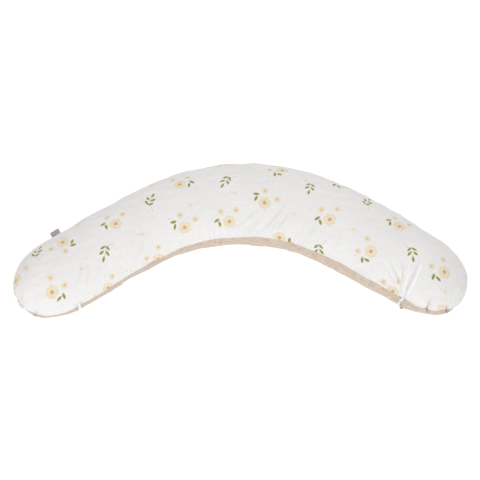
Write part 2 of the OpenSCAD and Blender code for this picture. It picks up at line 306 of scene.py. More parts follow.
class Nodes:
    """Short calls for the nodes of one material."""

    def __init__(self, name, roughness=0.85):
        self.material = bpy.data.materials.new(name)
        self.material.use_nodes = True
        self.tree = self.material.node_tree
        self.shader = self.tree.nodes["Principled BSDF"]
        self.set("Roughness", roughness)

    def put(self, socket, value):
        if isinstance(value, bpy.types.NodeSocket):
            self.tree.links.new(value, socket)
        else:
            socket.default_value = value

    def set(self, name, value):
        """Links or sets one input of the material's shader."""
        self.put(self.shader.inputs[name], value)

    def node(self, kind, values, **settings):
        """Outputs of a new node; values go to its inputs by name or in their order."""
        node = self.tree.nodes.new("ShaderNode" + kind)
        for name, value in settings.items():
            setattr(node, name, value)
        for key, value in values.items() if isinstance(values, dict) else enumerate(values):
            self.put(node.inputs[key], value)
        return node.outputs

    def math(self, operation, *values):
        return self.node("Math", values, operation=operation)[0]

    def times(self, a, b):
        return self.math("MULTIPLY", a, b)

    def times_plus(self, a, b, c):
        """a times b, plus c."""
        return self.math("MULTIPLY_ADD", a, b, c)

    def minus(self, a, b):
        return self.math("SUBTRACT", a, b)

    def larger(self, a, b):
        return self.math("MAXIMUM", a, b)

    def vector(self, operation, *values):
        outputs = self.node("VectorMath", values, operation=operation)
        return outputs["Value" if operation == "LENGTH" else "Vector"]

    def attribute(self, name):
        return self.node("Attribute", (), attribute_name=name)["Vector"]

    def position(self):
        return self.node("TexCoord", ())["Object"]

    def split(self, vector):
        return tuple(self.node("SeparateXYZ", [vector]))

    def join(self, x, y, z=0.0):
        return self.node("CombineXYZ", (x, y, z))[0]

    def turned(self, vector, degrees):
        values = {"Vector": vector, "Angle": math.radians(degrees)}
        return self.node("VectorRotate", values, rotation_type="Z_AXIS")[0]

    def ramp(self, value, low, high, to_low=0.0, to_high=1.0):
        """Smooth step of a value."""
        values = (value, low, high, to_low, to_high)
        return self.node("MapRange", values, interpolation_type="SMOOTHSTEP")[0]

    def noise(self, vector, scale, detail=2.0, roughness=0.5):
        values = {"Vector": vector, "Scale": scale, "Detail": detail, "Roughness": roughness}
        return self.node("TexNoise", values)["Fac"]

    def cells(self, vector, scale):
        """Distance to the middle of the nearest cell."""
        return self.node("TexVoronoi", {"Vector": vector, "Scale": scale})["Distance"]

    def mix(self, factor, a, b):
        return self.node("Mix", {"Factor": factor, "A": a, "B": b}, data_type="RGBA")["Result"]

    def color(self, value):
        self.set("Base Color", value)

    def height(self, value, distance, strength=1.0, under=None):
        """Bump from a height of 0 to 1 that stands for distance, over an earlier bump."""
        values = {"Strength": strength, "Distance": distance, "Height": value}
        if under:
            values["Normal"] = under
        normal = self.node("Bump", values)[0]
        self.set("Normal", normal)
        return normal

    def cloth_finish(self, sheen):
        self.set("Sheen Weight", sheen)
        self.set("Specular IOR Level", 0.25)


def rgb(r, g, b):
    """Shader colour from the values that a colour picker shows."""
    def linear(c):
        c = c / 255
        return c / 12.92 if c <= 0.04045 else ((c + 0.055) / 1.055) ** 2.4
    return (linear(r), linear(g), linear(b), 1.0)


def plain_weave(n, cloth, threads):
    """Over-and-under height of a plain weave with that many threads a metre."""
    x, y, _ = n.split(cloth)
    wobble = n.times(n.noise(cloth, 60.0), 3.0)
    warp = n.math("SINE", n.math("ADD", n.times(x, threads * math.pi), wobble))
    weft = n.math("SINE", n.math("ADD", n.times(y, threads * math.pi), wobble))
    crossing = n.times(warp, weft)
    return n.times_plus(crossing, 0.5, 0.5)


# --- the print


PETAL = rgb(244, 228, 203)
PETAL_EDGE = rgb(224, 194, 150)
POLLEN = rgb(200, 186, 122)
POLLEN_DARK = rgb(166, 150, 84)
LEAF = rgb(170, 168, 84)
LEAF_DARK = rgb(138, 136, 58)
STEM = rgb(150, 152, 140)
STEM_HALF = 0.0004
COTTON = rgb(243, 242, 240)


def flower(n, at, centre, radius, petals, ground):
    """Draws one flower over a ground colour."""
    place = n.vector("SUBTRACT", at, centre)
    x, y, _ = n.split(place)
    r = n.vector("LENGTH", place)
    angle = n.math("ARCTAN2", y, x)
    wave = n.math("ABSOLUTE", n.math("COSINE", n.times(angle, petals / 2)))
    round_wave = n.math("POWER", wave, 0.55)
    rim = n.times_plus(round_wave, 0.26 * radius, 0.76 * radius)
    rim = n.math("ADD", rim, n.times_plus(n.noise(at, 130.0), 0.16 * radius, -0.08 * radius))
    inside = n.minus(rim, r)
    shape = n.ramp(inside, 0.0, 0.0009)
    edge = n.ramp(inside, 0.0004, 0.22 * radius, 1.0, 0.0)
    cleft = n.times(n.ramp(wave, 0.0, 0.35, 1.0, 0.0), n.ramp(r, 0.3 * radius, 0.8 * radius))
    vein = n.ramp(n.math("SINE", n.times(angle, petals * 5.0)), 0.5, 1.0)
    vein = n.times(vein, n.ramp(r, 0.35 * radius, 0.6 * radius, 1.0, 0.0))
    dark = n.larger(n.times(edge, 0.45), cleft)
    dark = n.larger(dark, n.times(vein, 0.5))
    dark = n.times(dark, n.ramp(n.noise(at, 220.0, 3.0), 0.25, 0.75, 0.55, 1.0))
    petal = n.mix(dark, PETAL, PETAL_EDGE)
    heart_rim = n.times_plus(n.noise(at, 520.0), 0.16 * radius, 0.22 * radius)
    heart = n.ramp(n.minus(heart_rim, r), 0.0, 0.0012)
    speckle = n.ramp(n.noise(at, 900.0), 0.45, 0.6)
    pollen = n.mix(speckle, POLLEN, POLLEN_DARK)
    return n.mix(shape, ground, n.mix(n.times(heart, 0.85), petal, pollen))


def leaf(n, at, centre, turn, half_length, half_width, ground):
    """Draws one almond-shaped leaf over a ground colour."""
    place = n.turned(n.vector("SUBTRACT", at, centre), -turn)
    x, y, _ = n.split(place)
    along_leaf = n.math("DIVIDE", x, half_length)
    rim = n.minus(1.0, n.times(along_leaf, along_leaf))
    side = n.math("ABSOLUTE", y)
    inside = n.minus(n.times(rim, half_width), side)
    shape = n.ramp(inside, 0.0, 0.0006)
    rib = n.ramp(side, 0.0002, 0.0007, 1.0, 0.0)
    tone = n.larger(n.times(rib, 0.8), n.ramp(n.noise(at, 260.0), 0.4, 0.7))
    return n.mix(shape, ground, n.mix(tone, LEAF, LEAF_DARK))


def stem(n, at, start, end, ground, strength=0.8):
    """Draws a thin straight stem over a ground colour."""
    dx = end[0] - start[0]
    dy = end[1] - start[1]
    length = math.hypot(dx, dy)
    turn = math.degrees(math.atan2(dy, dx))
    place = n.turned(n.vector("SUBTRACT", at, (*start, 0)), -turn)
    x, y, _ = n.split(place)
    bend = n.times(n.math("SINE", n.times(x, math.pi / length)), 0.07 * length)
    across = n.math("ABSOLUTE", n.minus(y, bend))
    shape = n.ramp(across, STEM_HALF * 0.6, STEM_HALF * 1.6, 1.0, 0.0)
    reach = n.times(n.math("GREATER_THAN", x, 0.0), n.math("LESS_THAN", x, length))
    mask = n.times(n.times(shape, reach), strength)
    return n.mix(mask, ground, STEM)


def polar(distance, degrees):
    a = math.radians(degrees)
    return (distance * math.cos(a), distance * math.sin(a), 0.0)


def spray(n, at, ground):
    """One large flower, two small ones beside it and a pair of leaves."""
    ground = leaf(n, at, polar(0.040, 117), 160, 0.0112, 0.0048, ground)
    ground = leaf(n, at, polar(0.031, 138), 47, 0.0108, 0.0046, ground)
    ground = flower(n, at, polar(0.042, 0), 0.0108, 6, ground)
    ground = flower(n, at, polar(0.042, 73), 0.0108, 6, ground)
    return flower(n, at, (0, 0, 0), 0.0205, 7, ground)


# Place, turn and half size of each leaf, along the sprig's own line
SPRIG_LEAVES = [
    (0.0105, 0.0074, 132, 0.0104, 0.0040), (0.0095, -0.0074, -132, 0.0104, 0.0040),
    (-0.006, 0.0092, 138, 0.0106, 0.0042), (-0.007, -0.0092, -138, 0.0106, 0.0042),
    (-0.026, 0, 180, 0.0112, 0.0044),
]


def sprig(n, at, ground):
    """A thin stem, from +X, that turns into two pairs of leaves and one at its tip."""
    ground = stem(n, at, (0.0098, -0.0069), (0.041, 0.0), ground)
    at = n.turned(at, 35)
    ground = stem(n, at, (-0.020, 0), (0.012, 0), ground)
    for x, y, turn, half_length, half_width in SPRIG_LEAVES:
        ground = leaf(n, at, (x, y, 0), turn, half_length, half_width, ground)
    return ground


def bud(n, at, ground):
    """A closed bud with a short stem towards +X."""
    ground = stem(n, at, (0.003, 0), (0.020, 0.001), ground, 0.6)
    r = n.vector("LENGTH", at)
    rim = n.times_plus(n.noise(at, 260.0), 0.007, 0.0042)
    shape = n.ramp(n.minus(rim, r), 0.0, 0.0016)
    tone = n.ramp(n.noise(at, 420.0), 0.45, 0.8)
    return n.mix(n.times(shape, 0.75), ground, n.mix(tone, PETAL, PETAL_EDGE))


def printed_cotton():
    n = Nodes("printed_cotton", 0.88)
    x, y, painted_shading = n.split(n.attribute("cloth"))
    cloth = n.join(x, y)
    tone = n.ramp(n.noise(cloth, 7.0, 3.0), 0.3, 0.7)
    ground = n.mix(tone, COTTON, rgb(240, 239, 238))
    # Sparse pale dots
    dot = n.ramp(n.cells(cloth, 26.0), 0.034, 0.062, 0.8, 0.0)
    ground = n.mix(dot, ground, rgb(188, 192, 182))
    x, y, is_sprig = n.split(n.attribute("sprig"))
    place = n.join(x, y)
    ground = n.mix(is_sprig, bud(n, place, ground), sprig(n, place, ground))
    ground = spray(n, n.attribute("spray"), ground)
    threads = plain_weave(n, cloth, 2400.0)
    slub = n.noise(n.vector("MULTIPLY", cloth, (40, 900, 1)), 1.0, 3.0)
    # Painted highlight on the ridges, where the third value of "cloth" is below 0
    ground = n.mix(n.ramp(painted_shading, -0.7, -0.05, 0.8, 0.0), ground, rgb(254, 254, 254))
    # Painted shade in the folds and creases, where the third value of "cloth" is above 0
    n.color(n.mix(n.ramp(painted_shading, 0.0, 1.0, 0.0, 0.5), ground, rgb(168, 163, 160)))
    crumple = n.noise(n.turned(n.vector("MULTIPLY", cloth, (38, 50, 1)), 24), 1.0, 3.0, 0.5)
    rumpled = n.height(crumple, 0.0065, 0.8)
    n.height(n.times_plus(slub, 0.35, threads), 0.00012, 0.5, rumpled)
    n.cloth_finish(0.15)
    return n.material


def beige_melange():
    n = Nodes("beige_melange", 0.9)
    x, y, painted_shading = n.split(n.attribute("cloth"))
    cloth = n.join(x, y)
    streaks = n.turned(cloth, 38)
    fine = n.noise(n.vector("MULTIPLY", streaks, (170, 900, 1)), 1.0, 3.0, 0.6)
    broad = n.noise(n.vector("MULTIPLY", streaks, (45, 260, 1)), 1.0, 2.0)
    tone = n.math("ADD", n.times(fine, 0.6), n.times(broad, 0.4))
    ground = n.mix(n.ramp(tone, 0.38, 0.62), rgb(188, 167, 150), rgb(228, 214, 199))
    # Painted shade in the folds, from the third value of "cloth"
    n.color(n.mix(n.ramp(painted_shading, 0.05, 0.8), ground, rgb(104, 76, 60)))
    threads = plain_weave(n, cloth, 2000.0)
    n.height(n.times_plus(fine, 0.8, threads), 0.00016, 0.6)
    n.cloth_finish(0.15)
    return n.material


def plain_cloth(name, dark, light, threads=1900.0, roughness=0.88):
    """Woven cloth in two close tones, in object coordinates."""
    n = Nodes(name, roughness)
    place = n.position()
    tone = n.ramp(n.noise(place, 35.0, 4.0), 0.3, 0.7)
    n.color(n.mix(tone, dark, light))
    fibres = n.noise(place, 1500.0, 2.0)
    n.height(n.times_plus(fibres, 0.6, plain_weave(n, place, threads)), 0.00012, 0.6)
    n.cloth_finish(0.1)
    return n.material


def thread_material(name, dark, light):
    """Twisted sewing thread."""
    n = Nodes(name, 0.6)
    place = n.position()
    twist = n.noise(n.vector("MULTIPLY", place, (900, 900, 2400)), 1.0, 1.0)
    n.color(n.mix(n.ramp(twist, 0.35, 0.65), dark, light))
    n.height(twist, 0.0001, 0.8)
    return n.material


def tab_material():
    """Tightly woven tape with narrow ribs across it."""
    n = Nodes("woven_tab", 0.8)
    place = n.position()
    x, y, z = n.split(place)
    ribs = n.math("SINE", n.times(n.math("ADD", x, n.times(y, 0.8)), 5200.0))
    fuzz = n.noise(place, 900.0, 3.0)
    n.color(n.mix(n.ramp(fuzz, 0.3, 0.7), rgb(172, 163, 170), rgb(196, 188, 193)))
    n.height(n.times_plus(ribs, 0.5, fuzz), 0.00015, 0.7)
    return n.material


def nylon():
    n = Nodes("zip_nylon", 0.42)
    tone = n.ramp(n.noise(n.position(), 400.0), 0.3, 0.7)
    n.color(n.mix(tone, rgb(214, 208, 199), rgb(226, 221, 213)))
    n.set("Subsurface Weight", 0.05)
    return n.material


def zip_metal():
    """Painted die-cast metal, a little worn."""
    n = Nodes("zip_metal", 0.36)
    place = n.position()
    scuff = n.ramp(n.noise(place, 700.0, 4.0), 0.45, 0.75)
    n.color(n.mix(scuff, rgb(208, 206, 203), rgb(182, 180, 178)))
    n.set("Roughness", n.ramp(n.noise(place, 300.0, 3.0), 0.3, 0.7, 0.28, 0.5))
    n.set("Metallic", 0.55)
    n.height(n.noise(place, 1600.0, 3.0), 0.00004, 0.4)
    return n.material


def beads_material():
    """Expanded polystyrene beads: packed round cells."""
    n = Nodes("bead_filling", 0.7)
    place = n.position()
    distance = n.cells(place, 320.0)
    # Painted shade between the beads: darker towards the edge of each cell
    n.color(n.mix(n.ramp(distance, 0.2, 0.7), rgb(250, 250, 249), rgb(222, 222, 220)))
    n.height(n.minus(1.0, distance), 0.0012, 0.9)
    return n.material


# --- camera


def make_camera():
    """The photographer's view: from the bay's side, looking down."""
    elevation = math.radians(56)
    distance = 3.07
    target = Vector((0, PLAN_Y, 0.08))
    data = bpy.data.cameras.new("camera")
    data.sensor_width = 36.0
    data.lens = 70.28
    data.shift_x = -0.0031
    data.shift_y = 0.0021
    data.clip_end = 40
    camera = add_object("camera", data)
    camera.location = target + distance * Vector((0, -math.cos(elevation), math.sin(elevation)))
    camera.rotation_euler = (math.pi / 2 - elevation, 0, 0)
    bpy.context.scene.camera = camera


# --- the ties


TIE_W = 0.009
TIE_T = 0.002
# Routes in the frame of an arm, as in the CAD model: along it, out from its middle plane, height
TIE_TAIL = [
    (230, 72.8, 1.4), (205, 75.2, 1.4), (180, 77.3, 1.4), (155, 79.1, 1.4), (130, 80.7, 1.4),
]
TIE_LEFT = [
    (303, 117, 106), (302, 121.6, 105), (302, 124.2, 104), (302, 125.2, 98), (302, 124.6, 85),
    (302, 120.8, 68), (302, 113.2, 51), (302, 102.8, 35), (301, 89, 20), (300, 79, 9),
    (298, 71.5, 3), (293, 67, 1.4), (280, 67.7, 1.4), (262, 69.5, 1.4),
]
TIE_RIGHT = [
    (294, 111, 119), (291, 118, 115), (286, 123.6, 105), (286, 127.6, 104), (286, 131.6, 98),
    (287, 130.4, 89), (287, 125.8, 74), (287, 119, 58), (287, 109.4, 41), (287, 97, 25),
    (286, 85, 12), (283, 75, 4), (277, 68.5, 1.4), (268, 68.5, 1.4), (255, 70, 1.4),
]


def from_arm(points, side):
    """Points from the frame of the right (side 1) or left (side -1) arm, inner side towards +y."""
    p = np.asarray(points, float)
    c = math.cos(BEND_HALF)
    s = math.sin(BEND_HALF)
    x = BEND_R * s + p[:, 0] * c - p[:, 1] * s
    y = BEND_Y + BEND_R * c - p[:, 0] * s - p[:, 1] * c
    return np.stack([side * x, y, p[:, 2]], -1)


def ribbon_profile():
    """Flat closed section of a tie, with slightly thicker, rolled edges."""
    a = np.linspace(0, 2 * math.pi, 20, endpoint=False)
    x = np.sign(np.cos(a)) * np.abs(np.cos(a)) ** 0.5
    y = np.sign(np.sin(a)) * np.abs(np.sin(a)) ** 0.7 * (0.72 + 0.28 * np.abs(x) ** 3)
    return np.stack([x * TIE_W / 2, y * TIE_T / 2 / 0.8], -1)


def make_tie(name, node, route, side, material):
    """A flat ribbon along its route, from its root in the seam of the filled cover."""
    path = smoothed(from_arm(np.array(route + TIE_TAIL) / 1000, side), 5)
    # Its flat side faces out from the roll higher up, and down on the floor
    lift = np.clip((path[:, 2] - TIE_T) / (WIDEST_Z - TIE_T), 0, 1)[:, None]
    away = np.diff(from_arm([[0, 0, 0], [0, 1, 0]], side), axis=0)
    outward = away * lift + np.array([0, 0, -1]) * (1 - lift)
    tie = tube_object(name, path, unit(outward), ribbon_profile(), material)
    settle(tie, node)


# --- print placement

# Places on the spread-out panel, in centimetres: x, y and the turn of the first small flower,
# with True where the motif is flipped
SPRAYS = [
    (-57.4, -25.2, 102, True), (-55.9, -8.2, 217), (-39.7, -1.9, 64), (-69.6, -19.7, 40),
    (-38.9, -23.3, 87, True), (-20.1, 14.1, 129, True), (-17.8, -1.4, 42), (-23.8, -12.4, 108),
    (-3.8, 1, 60), (7.4, 7, 14), (13.6, 21.9, 112), (11.4, -4.6, 203), (28, 0.3, 53),
    (50, -2.1, 29), (40.1, -11.2, 100), (44.9, -24.7, 50), (62.2, -18.9, 88), (34.5, 17, 78),
    (-4.2, 27.6, 220, True), (-30.5, 17.8, 45), (66.5, -3.5, 60), (60.5, -30, 20, True),
    (-46, 13, 300, True), (-66, 0, 30), (50.5, 12.5, 200), (22, 31.5, 330, True), (-75, -8, 200),
]
# x, y and the direction of the stem, with True where the motif is flipped
SPRIGS = [
    (-64, -11.3, 291), (-42.4, -11.4, 52, True), (-29.4, 7, 286), (-5, 15.5, 27, True),
    (22.3, 13.2, 112), (23.1, -8.9, 42, True), (40.7, 8.2, 275), (52.8, -12.4, 127),
    (-56, 6.5, 60, True), (9, 29.5, 200), (60.5, 5.5, 320), (-17, 26, 150, True),
]
# x, y and the direction of the stem
BUDS = [
    (-49.2, -17.7, 10), (-52.3, -0.5, 217), (-67.5, -24.7, 270), (-16.4, 6, 284),
    (-31.2, -4.8, 186), (-2.1, 10.5, 155), (16.8, 3, 202), (35.4, -3.8, 171), (62.1, -24.5, 151),
    (56.3, -27.9, 289), (49.7, -28.5, 234), (-38.5, 12, 80), (42.5, 16.5, 190), (71, -12, 30),
]


def local_place(points, x, y, turn, flipped=False):
    """Points of the spread-out panel in the frame of a motif, in metres."""
    a = math.radians(turn)
    dx = points[:, 0] - x / 100
    dy = points[:, 1] - y / 100
    u = dx * math.cos(a) + dy * math.sin(a)
    v = dy * math.cos(a) - dx * math.sin(a)
    return np.stack([u, -v if flipped else v], -1)


def beside_nearest(corners, face, middle, anchors, marks):
    """Places in the frame of the mark nearest to their face's middle, and which mark that is."""
    gaps = middle[:, None, :] - np.asarray(anchors)[None]
    chosen = np.argmin((gaps**2).sum(-1), axis=1)[face]
    places = np.zeros((len(corners), 3))
    for k, mark in enumerate(marks):
        here = chosen == k
        places[here, :2] = local_place(corners[here], *mark)
    return places, chosen


def store_vectors(mesh, name, domain, values):
    attribute = mesh.attributes.new(name, "FLOAT_VECTOR", domain)
    attribute.data.foreach_set("vector", values.astype(np.float32).ravel())


def place_print(obj, spread):
    """Stores, at each face corner, the place relative to the nearest large and small motif.

    The third value of "sprig" is 1 beside a sprig and 0 beside a bud.
    """
    mesh = obj.data
    corner_point = np.zeros(len(mesh.loops), int)
    mesh.loops.foreach_get("vertex_index", corner_point)
    sizes = np.zeros(len(mesh.polygons), int)
    mesh.polygons.foreach_get("loop_total", sizes)
    face = np.repeat(np.arange(len(sizes)), sizes)
    corners = spread[corner_point]
    middle = np.stack([np.bincount(face, corners[:, k]) for k in (0, 1)], -1) / sizes[:, None]
    # The middle of a spray lies between its large flower and the two small ones
    anchors = []
    for x, y, turn, *flipped in SPRAYS:
        a = math.radians(turn + (-60 if flipped else 60))
        anchors.append((x / 100 + 0.014 * math.cos(a), y / 100 + 0.014 * math.sin(a)))
    large, _ = beside_nearest(corners, face, middle, anchors, SPRAYS)
    marks = SPRIGS + BUDS
    anchors = [(x / 100, y / 100) for x, y, *_ in marks]
    small, chosen = beside_nearest(corners, face, middle, anchors, marks)
    small[:, 2] = chosen < len(SPRIGS)
    store_vectors(mesh, "spray", "CORNER", large)
    store_vectors(mesh, "sprig", "CORNER", small)


# --- relief of the cover

# Creases on the spread-out panel, in centimetres, with depth and width in millimetres
TIE_CREASES = [
    ([(54.8, -15), (53.5, -18), (52, -20.9), (50.1, -23.8), (48.4, -26.4), (47.3, -28)], 6, 2.5),
    ([(41.5, -15.5), (44.4, -18), (46.2, -22), (46.9, -26)], 4.6, 3.6),
    ([(44.8, -14.5), (47, -18.5), (47.9, -22.5), (47.6, -26)], 4.8, 3.4),
    ([(48.6, -14.5), (49.4, -18), (48.9, -21.5), (47.9, -25.5)], 4.6, 3.2),
    ([(40.5, -20.6), (43.5, -22.6), (46.6, -26.3)], 4.2, 3.6),
    ([(36.5, -19.5), (38.5, -21.5), (41.5, -24)], 2.4, 4.6),
    ([(33.5, -16.5), (35.5, -18.5), (38, -21.8)], 1.8, 4.8),
    ([(60.5, -22), (56.5, -23.6), (52, -26.2)], 1.8, 8),
    ([(63, -26.5), (59, -26.8), (54, -27.8)], 1.6, 6),
]
TIE_RIDGES = [
    ([(55.7, -15.8), (54.4, -18.4), (52.9, -21.3), (51, -24.2), (49.2, -26.8)], 4.2, 3.6),
    ([(51.4, -16), (51, -19.5), (49.4, -23.2), (48, -26.6)], 3.4, 3.4),
    ([(43, -16.5), (45.6, -20), (46.8, -24.5)], 3.4, 3.8),
    ([(46.6, -15.5), (48.6, -20), (48.6, -24.5)], 3.4, 3.8),
]
SOFT_CREASES = [
    ([(-5, -2.7), (-0.5, -0.1), (4.6, 4.1), (7.6, 8.3)], 3, 6),
    ([(4.3, -4.2), (8.3, -0.6), (12.3, 3.8), (15.4, 8.7)], 3.8, 6),
    ([(10.3, -2.7), (13.1, 0.5), (16.5, 4.9)], 3.6, 5.6),
    ([(0.2, -3.4), (3.6, -0.9), (7.6, 3.2)], 2.8, 5.6),
    ([(7.2, -3.9), (10.6, -0.4), (14.2, 4.4)], 2.4, 5),
    ([(-12, -1.5), (-8.6, 2.2), (-6.9, 6)], 2.2, 7),
    ([(-33, -13.5), (-31.5, -9.5), (-31.8, -6.2)], 2.2, 7),
    ([(-51.6, -25), (-49.4, -20), (-49.9, -15.5)], 2.6, 5),
    ([(-47.6, -24), (-47, -19), (-48.4, -15)], 2.4, 4.8),
    ([(-45, -22.5), (-44, -18.5), (-44.6, -15)], 1.8, 4.8),
    ([(20, -6.5), (22.5, -3), (24, 1.5)], 2, 7),
    ([(28.5, -10.5), (30.5, -7.5), (31, -3.5)], 1.8, 7),
]


def crease_field(spread, route, width):
    """1 on a crease's line, falling to 0 beside it and at its two ends."""
    line = smoothed(np.asarray(route, float) / 100, 6)
    best = np.full(len(spread), 1e9)
    share = np.zeros(len(spread))
    for k in range(len(line) - 1):
        a = line[k]
        d = line[k + 1] - a
        f = np.clip(((spread - a) @ d) / (d @ d), 0, 1)
        gap = ((spread - a - f[:, None] * d) ** 2).sum(-1)
        closer = gap < best
        best = np.where(closer, gap, best)
        share = np.where(closer, (k + f) / (len(line) - 1), share)
    fade = np.sin(np.clip(share, 0.02, 0.98) * math.pi) ** 0.6
    return np.exp(-best / (width / 1000) ** 2) * fade


def soft_noise(points, size, seed, waves=14):
    """Smooth unevenness of about that size, from -1 to 1."""
    r = np.random.RandomState(seed)
    total = np.zeros(points.shape[:-1])
    for _ in range(waves):
        direction = r.normal(size=3)
        direction *= 2 * math.pi / (size * r.uniform(0.75, 1.5)) / np.linalg.norm(direction)
        total += np.sin(points @ direction + r.uniform(0, 2 * math.pi))
    return total / math.sqrt(waves)


def pucker_wave(length, seed):
    """Uneven gathers along a seam."""
    r = np.random.RandomState(seed)
    drift = 1.9 * np.sin(length / 0.031 + r.uniform(0, 6))
    drift += 1.3 * np.sin(length / 0.012 + r.uniform(0, 6))
    strength = 0.55 + 0.45 * np.sin(length / 0.047 + r.uniform(0, 6))
    return np.sin(2 * math.pi * length / 0.019 + drift) * strength


def lengths_between(points, axis):
    """Distances along the rows or columns of a grid, from its first one."""
    steps = np.linalg.norm(np.diff(points, axis=axis), axis=-1)
    zero = np.zeros_like(np.take(steps, [0], axis=axis))
    return np.concatenate((zero, np.cumsum(steps, axis=axis)), axis=axis)


def fold_relief(panel, inner):
    """Dents of the short folds across the inner seam, with a soft bulge beside each."""
    relief = np.zeros_like(inner)
    for place, depth, height in SEAM_FOLDS:
        reach = 0.005 + 0.0004 * height if panel.side > 0 else 0.010 + 0.0012 * height
        off = panel.s - place + 0.28 * panel.side * np.sign(place) * inner
        sharp = bump(off, FOLD_W) - 0.35 * bump(off, 4 * FOLD_W)
        relief -= depth / 1000 * sharp * np.exp(-((inner / reach) ** 2))
    return relief


# Where fine gathers run in from the inner seam: place, spread and lean of the gathers, strength
GATHERS = [(0.09, 0.13, 0.6, 0.9), (0.575, 0.075, -0.45, 1.0), (-0.55, 0.09, 0.35, 0.8)]


def gather_relief(panel, inner):
    """Fine slanting gathers of the top panel beside its inner seam."""
    run = panel.length[:, -1][:, None]
    relief = np.zeros_like(inner)
    for k, (place, spread, lean, strength) in enumerate(GATHERS):
        at = run - lean * inner
        drift = 1.7 * np.sin(at / 0.023 + k) + 1.1 * np.sin(at / 0.0087 + 2 * k)
        wave = np.sin(2 * math.pi * at / 0.0125 + drift)
        fade = np.exp(-((inner / 0.07) ** 2)) * inner / (inner + 0.012)
        centre = panel.s - place - lean * inner
        relief += 0.0011 * strength * wave * fade * bump(centre, spread)
    return relief


class Panel:
    """A cover panel as a grid: places s and t, points, and spread-out places."""

    def __init__(self, s, t, side):
        self.s = s
        self.t = t
        self.side = side
        self.flat_points = base(s, t)
        self.normals = normals_at(s, t)
        self.round = lengths_between(self.flat_points, 1)
        self.length = lengths_between(self.flat_points, 0)

    def spread(self):
        """Places on the spread-out cloth: the crown keeps its place and the sides fold out."""
        crown = math.pi / 2 if self.side > 0 else -math.pi / 2
        x, y, nx, ny = centre_line(self.s)
        rise = np.empty_like(self.round)
        for k in range(len(self.s)):
            order = slice(None) if self.t[k, -1] > self.t[k, 0] else slice(None, None, -1)
            middle = np.interp(crown, self.t[k, order], self.round[k, order])
            rise[k] = middle - self.round[k]
        outward = rise if self.side > 0 else -rise
        return np.stack([x + nx * outward, y + ny * outward - PLAN_Y], -1).reshape(-1, 2)

    def seam_gaps(self):
        """Distance from the outer and from the inner seam."""
        whole = self.round[:, -1:]
        if self.side > 0:
            return self.round, whole - self.round
        return whole - self.round, self.round


SEAM_DEPTH = 0.0034
SEAM_WIDTH = 0.006


def seam_relief(panel):
    outer, inner = panel.seam_gaps()
    zipped = beside_zip(panel.s)
    edge = np.maximum(bump(inner, SEAM_WIDTH), bump(outer, SEAM_WIDTH) * (1 - zipped))
    relief = -SEAM_DEPTH * edge
    columns = (0, -1) if panel.side > 0 else (-1, 0)
    seed = 3 if panel.side > 0 else 5
    for k, (gap, calm) in enumerate(((outer, zipped * 0.7), (inner, 0))):
        wave = pucker_wave(panel.length[:, columns[k]][:, None], seed + k)
        fade = np.exp(-gap / 0.028) * gap / (gap + 0.004)
        relief += 0.0019 * wave * fade * (1 - calm)
    return relief


def crease_relief(panel, spread):
    """Heights of the creases and of the ridges beside them, and the painted shading: painted shade
    in the creases, below 0 a painted highlight on the ridges.
    """
    relief = np.zeros(len(spread))
    painted_shading = np.zeros(len(spread))
    # Painted shade along the line of each crease
    for route, depth, width in TIE_CREASES + SOFT_CREASES:
        field = crease_field(spread, route, width)
        relief -= depth / 1000 * field
        painted_shading = np.maximum(painted_shading, field**2 * min(depth / 9, 1))
    # Painted highlight on each ridge: the shading value goes below 0 there
    for route, height, width in TIE_RIDGES:
        field = crease_field(spread, route, width)
        relief += height / 1000 * field
        painted_shading -= field * height / 5 * (painted_shading < 0.2)
    return relief.reshape(panel.s.shape), painted_shading.reshape(panel.s.shape)


def displaced(panel, spread):
    """Points with the whole relief, and their painted shading: painted shade in folds and creases,
    below 0 a painted highlight on a ridge.
    """
    points = panel.flat_points
    relief = seam_relief(panel)
    outer, inner = panel.seam_gaps()
    zipped = beside_zip(panel.s)
    calm = 1 - zipped * bump(outer, 0.02)
    relief += 0.0016 * calm * soft_noise(points, 0.10, 21)
    relief += 0.0008 * calm * soft_noise(points, 0.035, 22)
    painted_shading = np.zeros_like(relief)
    if panel.side > 0:
        creases, painted_shading = crease_relief(panel, spread)
        relief = relief + creases * smoothstep(0, 0.010, inner) + gather_relief(panel, inner)
    folds = fold_relief(panel, inner)
    relief += folds
    # Painted shade in the dents of the short seam folds
    shade = np.clip(-folds / 0.008, 0, 1) ** 1.5
    painted_shading = np.where(shade > 0.01, np.maximum(painted_shading, shade), painted_shading)
    moved = points + panel.normals * relief[..., None]
    moved[..., 2] = np.maximum(moved[..., 2], 0)
    return moved, painted_shading.ravel()


def cover_panel(name, node, side, cols, material):
    """The top panel (side 1) or the bottom panel (side -1) of the cover."""
    s = row_places(0.0026, 90)[1:-1]
    t = panel_angles(s, side, slot_gap(s), crowded(cols))
    panel = Panel(np.repeat(s[:, None], cols, 1), t, side)
    spread = panel.spread()
    points, painted_shading = displaced(panel, spread)
    tips = end_tips(0.0, SEAM_DEPTH)
    obj = sheet_object(name, points, material, tips=tips)
    spread = np.concatenate((spread, tips[:, :2] - (0, PLAN_Y)))
    # The cloth's own coordinates, for its weave, and painted shade in its folds, below 0 painted
    # highlight on ridges
    painted_shading = np.concatenate((painted_shading, [0, 0]))
    store_vectors(obj.data, "cloth", "POINT", np.column_stack((spread, painted_shading)))
    if side > 0:
        place_print(obj, spread)
    thicken(obj, 0.0008, side < 0)
    settle(obj, node)


# --- hidden cloth and filling


